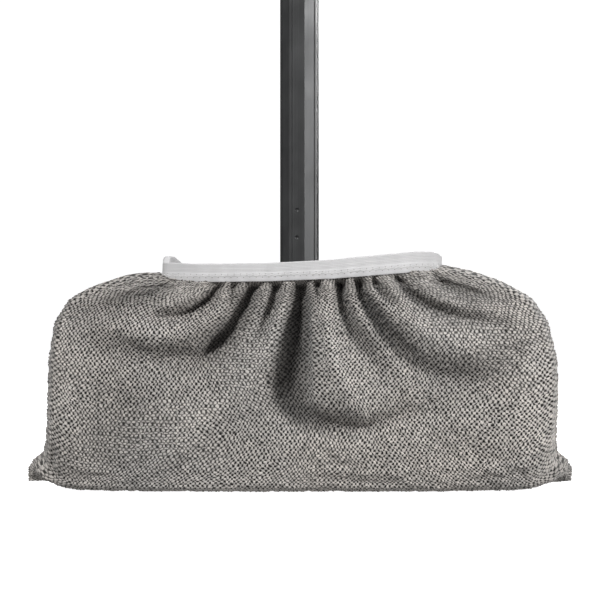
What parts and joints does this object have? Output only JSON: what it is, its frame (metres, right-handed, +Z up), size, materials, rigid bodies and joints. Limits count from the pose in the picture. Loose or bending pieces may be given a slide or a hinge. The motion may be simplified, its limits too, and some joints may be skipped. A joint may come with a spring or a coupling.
{
  "type": "carpet sweeper",
  "caption": "Wide rubber-bristled carpet sweeper head in a gathered microfibre cover, hinged on a telescopic fluted pole with a lever clamp, soft grip and hanging eye.",
  "frame": {"origin": "on the floor under the middle of the head", "axes": "+X along the head, +Z up the pole, +Y to the rear, where the user stands"},
  "size_m": [0.3362, 0.084, 1.194],
  "materials": {
    "cover_fabric": "matte",
    "elastic": "matte",
    "bristle_rubber": "matte",
    "head_plastic": "matte",
    "bumper_rubber": "matte",
    "steel": "satin",
    "washer_plastic": "satin",
    "neck_plastic": "satin",
    "pole_metal": "satin",
    "lever_plastic": "satin",
    "grip_rubber": "matte"
  },
  "bodies": {
    "head": {"cover_front_panel": "cover_fabric", "cover_rear_panel": "cover_fabric", "elastic_band": "elastic", "bristle_row_front": "bristle_rubber", "bristle_row_middle": "bristle_rubber", "bristle_row_rear": "bristle_rubber", "squeegee_blade": "bristle_rubber", "head_base": "head_plastic", "head_shell": "head_plastic", "head_screws": "steel", "end_bumper_left": "bumper_rubber", "end_bumper_right": "bumper_rubber", "pivot_bracket": "steel", "bracket_screws": "steel"},
    "lower_pole": {"pivot_bolt": "steel", "pivot_nut": "steel", "pivot_washers": "washer_plastic", "neck_knuckle": "neck_plastic", "lower_tube": "pole_metal", "clamp_collar": "neck_plastic", "clamp_bolt": "steel"},
    "clamp_lever": {"cam_lever": "lever_plastic", "lever_pin": "steel"},
    "upper_pole": {"upper_tube": "pole_metal", "guide_bush": "washer_plastic", "hand_grip": "grip_rubber", "end_cap": "neck_plastic"},
    "hanging_eye": {"hang_eye": "neck_plastic"}
  },
  "joints": [
    {"name": "head_tilt", "type": "hinge", "parent": "head", "child": "lower_pole", "pos_m": [0, 0, 0.1], "axis": [1, 0, 0], "range_deg": [-30, 30], "deforming": ["elastic_band", "cover_front_panel", "cover_rear_panel"]},
    {"name": "pole_extend", "type": "slide", "parent": "lower_pole", "child": "upper_pole", "axis": [0, 0, 1], "range_m": [-0.25, 0.14]},
    {"name": "clamp_open", "type": "hinge", "parent": "lower_pole", "child": "clamp_lever", "pos_m": [0.0143, 0.023, 0.739], "axis": [0, 0, 1], "range_deg": [0, 110]},
    {"name": "eye_swivel", "type": "hinge", "parent": "upper_pole", "child": "hanging_eye", "pos_m": [0, 0, 1.16], "axis": [0, 0, 1], "continuous": true}
  ]
}
